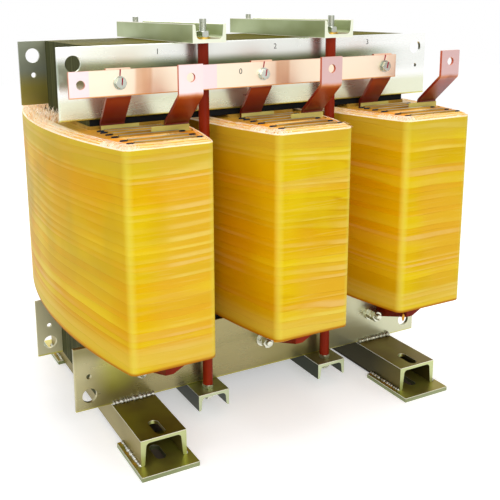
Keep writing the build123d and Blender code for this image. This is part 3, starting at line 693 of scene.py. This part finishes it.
TERMINAL_KNEE, NEUTRAL_KNEE = COIL_TOP + 0.061, COIL_TOP + 0.056
neutral_low, neutral_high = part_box("neutral_lead_middle")
terminal_low, terminal_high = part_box("terminal_lead_middle")
NEUTRAL_AT, TERMINAL_AT = (neutral_low.x + neutral_high.x) / 2, (terminal_low.x + terminal_high.x) / 2
TAN_AT = NEUTRAL_AT + 0.46 * (TERMINAL_AT - NEUTRAL_AT)
CREAM, PALE_PINK = rgb(252, 236, 212), rgb(246, 228, 228)
# The bar is scrubbed pale where a cable or a lead is bolted to it.
SCRUBBED = [(bar_low.x, bar_low.x + 0.032), (TERMINAL_AT - PITCH + 0.040, TERMINAL_AT - PITCH + 0.084)]
BAR_COPPER = copper(
    "bare_copper_bar", COIL_TOP - 0.1, COIL_TOP, CREAM, CREAM, (TAN_AT, 0.013), bar_low.z, contacts=SCRUBBED)
TERMINAL_COPPER = copper(
    "copper_terminal_lead", COIL_TOP, TERMINAL_KNEE, rgb(206, 124, 66), PALE_PINK, mauve=rgb(210, 168, 164))
NEUTRAL_COPPER = copper("copper_neutral_lead", COIL_TOP, NEUTRAL_KNEE, rgb(132, 30, 8), CREAM)
print("neutral bolts and terminals in a bay:", round(NEUTRAL_AT, 4), round(TERMINAL_AT, 4))

# %% [markdown]
# ## Red insulation, boards and pads
# The rod sleeves and the coil supports are red-brown laminate. The boards in the cooling ducts are
# pale grey, and the strips in front of the leads are cream paper.

# %% Insulation finishes
def laminate(name, dark, light, coat):
    finish = Finish(name, Coat_Roughness=0.15, IOR=1.45, Specular_IOR_Level=0.12)
    cloud = finish.noise(18.0, 4.0, (1, 1, 0.35))
    weave = finish.noise(420.0, 1.0)
    finish.feed(
        Base_Color=finish.ramp(cloud, (0.3, dark), (0.7, light)), Roughness=0.32 + cloud * 0.18,
        Coat_Weight=coat * (0.6 + cloud * 0.4))
    finish.bumps(weave * 0.3 + cloud, 0.0002, 0.6)
    return finish.material


def paper(name, shadow, body, pale, rough=0.7, glow=(0, 0, 0, 1)):
    finish = Finish(name, Specular_IOR_Level=0.3, Emission_Color=glow, Emission_Strength=0.2)
    fibre = finish.noise(70.0, 4.0, (0.3, 1, 1))
    cloud = finish.noise(12.0, 3.0)
    colour = finish.ramp(fibre * 0.5 + cloud * 0.5, (0.32, shadow), (0.5, body), (0.7, pale))
    finish.feed(Base_Color=colour, Roughness=rough - cloud * 0.2)
    finish.bumps(fibre, 0.0003, 0.6)
    return finish.material


def edge_on_board(name):
    """Grey along the top edge, and amber on its sides, partly a resin tint and partly painted shade."""
    finish = Finish(name, Specular_IOR_Level=0.2, Roughness=0.6)
    fibre = finish.noise(70.0, 4.0, (0.2, 1, 1))
    grey = finish.ramp(
        fibre, (0.35, rgb(112, 118, 108)), (0.5, rgb(150, 156, 142)), (0.65, rgb(190, 192, 172)))
    # The amber on the sides is partly resin and partly painted shade that keeps them darker than the top.
    recoloured = finish.ramp(fibre, (0.35, rgb(152, 112, 34)), (0.65, rgb(196, 156, 62)))
    finish.feed(Base_Color=finish.mix(facing(finish, 2).step(0.4, 0.8), recoloured, grey))
    finish.bumps(fibre, 0.0003, 0.6)
    return finish.material


RED = laminate("red_brown_laminate", rgb(104, 20, 4), rgb(150, 42, 10), 0.04)
BOARD = edge_on_board("duct_board_grey")
FORMER = paper("former_board", rgb(130, 98, 24), rgb(170, 134, 44), rgb(196, 166, 82))
PAD = paper("cream_pad_paper", rgb(184, 168, 78), rgb(206, 192, 104), rgb(228, 216, 142), 0.6)
# Painted shade: the blue-black of the duct mouths stands in for the dark inside the ducts.
PAINTED_SHADE_MOUTH = laminate("blue_black_duct_mouth", rgb(14, 16, 24), rgb(48, 54, 68), 0.0)
# The fibres glow faintly in a warm colour: painted light that keeps them pale on the shaded top.
FIBRE = paper(
    "frayed_glass_fibre", rgb(244, 176, 84), rgb(254, 232, 196), rgb(255, 248, 242), 0.5,
    glow=(1.0, 0.82, 0.64, 1.0))
RESIN = laminate("set_amber_resin", rgb(206, 120, 6), rgb(240, 176, 30), 0.5)
PAINT = laminate("crimson_marking_paint", rgb(140, 8, 34), rgb(176, 20, 50), 0.2)
INK = laminate("dark_stamping_ink", rgb(54, 56, 52), rgb(84, 86, 80), 0.0)
WELD = zinc("weld_metal", rgb(206, 206, 198), rgb(120, 120, 104), 0.7, 0.26)

# %% [markdown]
# ## Hand the finishes out
# Swapping the material of a solid node keeps its mesh as it is. A narrow bevel on the plates and
# bars gives their edges the thin bright line that real ones have.

# %% Dress the solid nodes
def starting(*starts):
    """The solid nodes whose names start with one of these."""
    return [name for name in NODES if name.startswith(starts)]


# The bar stands before its bolts, whose names start with the bar's.
dressed = set()
for material, *starts in (
        (TAPED, "coil_outer_winding_"), (BLOCK, "coil_inner_winding_"), (BOARD, "coil_duct_spacers_"),
        (FORMER, "coil_former_"), (PAD, "lead_pads"), (CORE, "core_"),
        (UPPER_ZINC, "upper_clamp_front"), (BACK_ZINC, "upper_clamp_back"),
        (LOWER_ZINC, "lower_clamp_front"), (LOWER_BACK_ZINC, "lower_clamp_back"),
        (UPPER_CHANNEL_ZINC, "upper_cross_"), (LOWER_CHANNEL_ZINC, "lower_cross_"),
        (FOOT_ZINC, "foot_channel_"), (BASE_ZINC, "base_plate_front", "base_plate_back"),
        (WELD, "foot_weld", "base_plate_weld"), (RED, "tie_rod_sleeve_", "coil_support_blocks"),
        (BRIGHT_ZINC, "yoke_bolt_", "tie_rod_nuts", "tie_rod_thin", "tie_rod_front", "tie_rod_back"),
        (YELLOW_ZINC, "tie_rod_washers"), (BAR_COPPER, "neutral_bar"), (BRIGHT_ZINC, "neutral_bar_"),
        (TERMINAL_COPPER, "terminal_lead_"), (NEUTRAL_COPPER, "neutral_lead_")):
    for name in starting(*starts):
        mesh = NODES[name].data
        mesh.materials.clear()
        mesh.materials.append(material)
        dressed.add(name)
print("dressed", len(dressed), "of", len(NODES), "left:", sorted(set(NODES) - dressed))

# %% Break the sharp edges
BROKEN_EDGE = 0.0006
for name in starting(
        "upper_", "lower_", "foot_channel_", "base_plate_front", "base_plate_back", "neutral_lead_",
        "terminal_lead_"):
    bevel = NODES[name].modifiers.new("broken_edge", "BEVEL")
    bevel.width, bevel.segments, bevel.limit_method = BROKEN_EDGE, 2, "ANGLE"
    bevel.angle_limit = math.radians(50)
NODES["neutral_bar"].modifiers.new("broken_edge", "BEVEL").width = BROKEN_EDGE

# %% [markdown]
# ## Pieces built ring by ring
# A small piece is a list of corners at each station, joined to the next by faces.

# %% Rings, skins and strands
def ring(form, points):
    return [form.verts.new(point) for point in points]


def skin(form, rings):
    """Faces between each ring of corners and the next, with a lid at both ends."""
    for low, high in zip(rings, rings[1:]):
        for k in range(len(low)):
            form.faces.new((low[k - 1], low[k], high[k], high[k - 1]))
    form.faces.new(rings[0])
    form.faces.new(rings[-1])


def strand(form, points, radius, sides=3, taper=0.6):
    """A thin tube along a line of points, tapering towards its far end."""
    rings = []
    for place, point in enumerate(points):
        ahead = points[min(place + 1, len(points) - 1)] - points[max(place - 1, 0)]
        side = ahead.cross(Vector((0.31, 0.17, 1.0))).normalized()
        over = ahead.cross(side).normalized()
        size = radius * (1 - taper * place / (len(points) - 1))
        turns = [math.tau * k / sides for k in range(sides)]
        rings.append(ring(form, [point + size * (math.cos(t) * side + math.sin(t) * over) for t in turns]))
    skin(form, rings)


def finish_piece(name, form, material):
    """Turn the corners and faces into an object that rides on the frame's one body."""
    bmesh.ops.recalc_face_normals(form, faces=form.faces)
    mesh = bpy.data.meshes.new(name)
    form.to_mesh(mesh)
    form.free()
    mesh.materials.append(material)
    mesh.shade_smooth()
    piece = put(name, mesh)
    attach(piece, "root")
    print(name, len(mesh.polygons), "faces")
    return piece


# %% [markdown]
# ## Frayed glass along the rims
# Where the tape was cut at the top of a coil its threads are loose: a pale cord of them lies on
# the outer edge, most lie along the rim, short ones cross it near the front corner, and at the back
# of the left coil they stand up like bristles. Each is a thin tube, and a seeded generator
# scatters them the same way every time.

# %% Walk round a rim
def rim_walk(phase, spacing=0.002):
    """Places round a coil's outer top edge: the point, the way along and the way in."""
    centre = PHASES[phase] * PITCH
    corners = [v.co for v in NODES[f"coil_outer_winding_{phase}"].data.vertices]
    loop = {(round(c.x, 5), round(c.y, 5)) for c in corners if abs(c.z - RIM_HEIGHT) < 0.0001}
    loop = sorted(loop, key=lambda p: math.atan2(p[1], p[0] - centre))
    places = []
    for start, stop in zip(loop, loop[1:] + loop[:1]):
        start, stop = Vector((*start, RIM_HEIGHT)), Vector((*stop, RIM_HEIGHT))
        along = (stop - start).normalized()
        inward = Vector((-along.y, along.x, 0))
        steps = max(1, round((stop - start).length / spacing))
        places += [(start.lerp(stop, k / steps), along, inward) for k in range(steps)]
    return places


RIM_WIDTH = 0.012


def on_top(point, inward, inset, lift):
    """A place on the coil's sloping edge or flat top, this far in from the rim."""
    rise = (COIL_TOP - RIM_HEIGHT) * min(inset / RIM_WIDTH, 1.0)
    place = point + inward * inset + Vector((0, 0, rise + lift))
    place.y = max(0.002 - HALF_DEPTH, min(HALF_DEPTH - 0.002, place.y))
    return place


# %% Lay, cross and raise the threads
CLAMP_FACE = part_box("upper_clamp_back")[0].y


def frayed_rim(phase, seed):
    form, dice = bmesh.new(), random.Random(seed)
    walk = rim_walk(phase)
    centre = PHASES[phase] * PITCH

    def lying(point, along, inward):
        length, inset = dice.uniform(0.012, 0.034), dice.uniform(0.001, 0.016)
        lean = dice.uniform(-0.12, 0.12)
        points = []
        for k in range(4):
            reach = (k / 3 - 0.5) * length
            lift = dice.uniform(0.0001, 0.0009)
            points.append(on_top(point + along * reach, inward, max(0.0008, inset + lean * reach), lift))
        strand(form, points, dice.uniform(0.0003, 0.0005))

    def crossing(point, along, inward):
        sweep, far = dice.uniform(-0.5, 0.5), dice.uniform(0.005, 0.012)
        lift = dice.uniform(0.0004, 0.0030)
        points = []
        for k in range(4):
            foot = point + along * sweep * far * k / 3
            points.append(on_top(foot, inward, 0.0008 + far * k / 3, lift * math.sin(k)))
        strand(form, points, dice.uniform(0.0004, 0.0007))

    def bristle(point, along, inward):
        foot = on_top(point, inward, dice.uniform(0.002, 0.050), -0.001)
        tall, curl = dice.uniform(0.008, 0.018), dice.uniform(-0.5, 0.5)
        way = (along * dice.uniform(-0.7, 0.7) + inward * dice.uniform(-0.1, 0.6)) * tall
        points = []
        for k in range(4):
            rise = Vector((0, 0, tall * k / 3))
            points.append(foot + way * (k / 3) ** 1.5 + rise + along * curl * 0.004 * math.sin(k))
        strand(form, points, dice.uniform(0.0004, 0.0008))

    cord = [on_top(p, i, 0.0011, 0.0002 + dice.uniform(0, 0.0004)) for p, _, i in walk[::2]]
    for k in range(0, len(cord) - 8, 8):
        strand(form, cord[k:k + 9], dice.uniform(0.0008, 0.0012), sides=4, taper=0.1)
    left_side = [w for w in walk if w[2].x > 0.8]
    right_side = [w for w in walk if w[2].x < -0.8]
    front = [w for w in walk if w[2].y > 0.8]
    front_corner = [w for w in left_side + front if w[0].y < -0.225 and w[0].x < centre - 0.045]
    zones = [
        (left_side, 300, lying), (right_side, 160, lying), (front, 40, lying), (front_corner, 90, crossing)]
    if phase == "left":
        # The bristles keep clear of the clamp that stands over the rim.
        clear = [w for w in left_side if not CLAMP_FACE - 0.012 <= w[0].y <= CLAMP_FACE + 0.014]
        zones.append(([w for w in clear if -0.02 < w[0].y < 0.26], 340, bristle))
    for zone, count, make in zones:
        for _ in range(count):
            make(*dice.choice(zone))
    finish_piece(f"frayed_glass_{phase}", form, FIBRE)


for number, phase in enumerate(PHASES):
    frayed_rim(phase, 40 + number)

# %% [markdown]
# ## Duct mouths
# Each grey board ends short of its cooling duct. What is left of the duct at both ends is a dark oval mouth
# with a thin lip: a shallow cup whose blue-black is painted shade for the dark inside the duct.

# %% Mouths at both ends of every board
def oval(form, x, y, z, half_length, half_width):
    points = []
    for k in range(16):
        across, over = math.cos(math.tau * k / 16), math.sin(math.tau * k / 16)
        straight = math.copysign(half_length - half_width, across)
        points.append((x + half_width * across + straight, y + half_width * over, z))
    return ring(form, points)


def duct_mouths(phase):
    form = bmesh.new()
    centre = PHASES[phase] * PITCH
    half_length = (DUCT_HALF - SPACER_HALF) / 2
    lip = COIL_TOP + 0.0018
    # Going up the outside, over the lip and down to the floor: the size and the height.
    wall = [
        (1.0, COIL_TOP - 0.003), (1.0, lip - 0.0004), (0.9, lip), (0.72, lip - 0.0003),
        (0.7, COIL_TOP - 0.002)]
    for front, back in BOARDS:
        y, half_width = (front + back) / 2, (back - front) / 2 * 1.25
        for end in (-1, 1):
            x = centre + end * (SPACER_HALF + half_length + 0.0004)
            skin(form, [oval(form, x, y, z, half_length * size, half_width * size) for size, z in wall])
    finish_piece(f"duct_mouths_{phase}", form, PAINTED_SHADE_MOUTH)


for phase in PHASES:
    duct_mouths(phase)

# %% [markdown]
# ## Weld runs
# A weld is a row of overlapping ripples in the corner between two plates. A quarter-round run
# whose size swells with every ripple replaces the solid model's plain strip.

# %% Rippled welds in place of the plain strips
WELD_STEP = 0.0007


def weld_run(form, low, high, dice, fullness):
    """A run that fills one corner, in lumps of uneven length and size."""
    size = high - low
    run, across, middle = (0, 1, 0) if size.x > size.y else (1, 0, FOOT_MIDDLE)
    inner = min(low[across], high[across], key=lambda place: abs(abs(place) - middle))
    outward = math.copysign(1, (low[across] + high[across]) / 2 - inner)
    lumps, reached = [], 0.0
    while reached < size[run]:
        length = dice.uniform(0.0045, 0.0100)
        lumps.append((reached, length, dice.uniform(0.75, 1.25)))
        reached += length
    rings = []
    stations = round(size[run] / WELD_STEP)
    for k in range(stations + 1):
        along = size[run] * k / stations
        start, length, swell = [lump for lump in lumps if lump[0] <= along][-1]
        share = min(1.0, (along - start) / length)
        lump = swell * (0.52 + 0.48 * math.sin(math.pi * share) ** 0.6) + 0.05 * math.sin(along * 5200)
        ends = min(1.0, (along + 0.0008) / 0.003, (size[run] - along + 0.0008) / 0.003)
        points = []
        for angle in (None, 0, 15, 30, 45, 60, 75, 90):
            point = Vector((0, 0, low.z))
            point[run], point[across] = low[run] + along, inner
            if angle is not None:
                turn = math.radians(angle)
                bulge = fullness * lump * ends * (1 + 0.12 * math.sin(turn * 2))
                point[across] += outward * size[across] * bulge * math.cos(turn)
                point.z += size.z * bulge * math.sin(turn)
            points.append(point)
        rings.append(ring(form, points))
    skin(form, rings)


for node, fullness in (("foot_weld_beads", 1.3), ("base_plate_weld_beads", 1.15)):
    form, dice = bmesh.new(), random.Random(7)
    for low, high in loose_parts(node):
        weld_run(form, low, high, dice, fullness)
    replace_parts(finish_piece(node.replace("beads", "runs"), form, WELD), node)

# %% [markdown]
# ## Threaded rods and studs
# A thread is a ridge that climbs one pitch in a turn, so each ring of corners takes its radius
# from a wave whose phase shifts with the angle. Only the ends are threaded.

# %% Thread the visible ends
def threaded_rod(form, low, high, axis, thread_length, pitch):
    centre, size = (low + high) / 2, high - low
    radius = min(size) / 2
    others = [a for a in range(3) if a != axis]
    length = size[axis]

    def bar_ring(along, shrink=0.0):
        points = []
        for k in range(18):
            turn = math.tau * k / 18
            in_thread = min(along, length - along) < thread_length
            wave = abs((along / pitch - k / 18) % 1.0 * 2 - 1)
            depth = 0.09 * (1 - wave) if in_thread else 0.02
            reach = radius * (1 - depth) - shrink
            point = centre.copy()
            point[others[0]] += reach * math.cos(turn)
            point[others[1]] += reach * math.sin(turn)
            point[axis] = low[axis] + along
            points.append(point)
        return ring(form, points)

    count = round(thread_length / pitch * 6)
    thread = [thread_length * k / count for k in range(1, count + 1)]
    stations = thread + [length - a for a in reversed(thread)]
    rings = [bar_ring(0, 0.001)] + [bar_ring(a) for a in stations] + [bar_ring(length, 0.001)]
    skin(form, rings)


for node in starting("tie_rod_front", "tie_rod_back"):
    form = bmesh.new()
    threaded_rod(form, *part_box(node), axis=2, thread_length=0.044, pitch=0.00175)
    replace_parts(finish_piece(f"threaded_{node}", form, BRIGHT_ZINC), node)

form = bmesh.new()
for low, high in loose_parts("yoke_bolt_studs"):
    threaded_rod(form, low, high, axis=1, thread_length=0.024, pitch=0.002)
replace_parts(finish_piece("threaded_yoke_studs", form, BRIGHT_ZINC), "yoke_bolt_studs")

# %% [markdown]
# ## Marks, paint and resin
# Each phase has a stamped number at the top of the clamp, and the bar has a 0 for neutral. A
# crimson stroke over each tightened bar bolt shows if it turns. Resin ran down and set in a few
# places before the coil was dry.

# %% Numbers on the clamp and the bar
def stamp(name, text, x, y, z):
    letters = bpy.data.curves.new(name, "FONT")
    letters.body, letters.size, letters.extrude = text, 0.0128, 0.00005
    letters.align_x, letters.align_y = "CENTER", "CENTER"
    mesh = bpy.data.meshes.new_from_object(bpy.data.objects.new(name, letters))
    mesh.materials.clear()
    mesh.materials.append(INK)
    mesh.transform(Matrix.Translation((x, y, z)) @ Matrix.Rotation(math.pi / 2, 4, "X"))
    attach(put(name + "_mark", mesh), "root")


clamp_low, clamp_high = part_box("upper_clamp_front")
for number, place, aside in ((1, -1, 0.055), (2, 0, 0.025), (3, 1, -0.028)):
    x = place * PITCH + aside
    stamp(f"phase_number_{number}", str(number), x, clamp_low.y - 0.0001, clamp_high.z - 0.013)
stamp("neutral_number", "0", -0.075, bar_low.y - 0.0001, bar_high.z - 0.014)

# %% Crimson strokes over the bar bolts
form, dice = bmesh.new(), random.Random(5)
bolts_low, bolts_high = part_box("neutral_bar_bolts")
for place in PHASES.values():
    x, z = NEUTRAL_AT + place * PITCH, (bolts_low.z + bolts_high.z) / 2
    lean = dice.uniform(-0.002, 0.002)
    for high, low, face in ((0.0205, 0.0090, bar_low.y), (0.0080, -0.0030, bolts_low.y)):
        points = []
        for k in range(6):
            aside = 0.001 + lean * (1 - k / 2.5)
            points.append(Vector((x + aside, face - 0.0002, z + high + (low - high) * k / 5)))
        strand(form, points, 0.0011, sides=8, taper=0.25)
finish_piece("crimson_strokes", form, PAINT)

# %% Set resin
def drop(form, centre, size, dice):
    """A lumpy ball, squeezed to its three sizes and pulled to a point below."""
    for vertex in bmesh.ops.create_icosphere(form, subdivisions=3, radius=1.0)["verts"]:
        x, y, z = vertex.co
        lump = 1 + 0.10 * math.sin(5 * x + 3 * z) + dice.uniform(-0.01, 0.01)
        pull = 1 - 0.35 * max(0.0, -z)
        lumpy = Vector((x * size[0] * pull * lump, y * size[1] * pull, z * size[2] * lump))
        vertex.co = Vector(centre) + lumpy


form, dice = bmesh.new(), random.Random(3)
support_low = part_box("coil_support_blocks")[0]
under = COIL_BASE - 0.001
for centre, size in (
        ((0.2605, support_low.y - 0.0006, COIL_BASE - 0.052), (0.0035, 0.0016, 0.0075)),
        ((-0.052, 0.008 - HALF_DEPTH, under - 0.0002), (0.019, 0.006, 0.0028)),
        ((-PITCH - 0.035, 0.012 - HALF_DEPTH, under), (0.010, 0.006, 0.0022)),
        ((PITCH + 0.040, 0.010 - HALF_DEPTH, under), (0.012, 0.005, 0.0022))):
    drop(form, centre, size, dice)
finish_piece("set_resin_drops", form, RESIN)
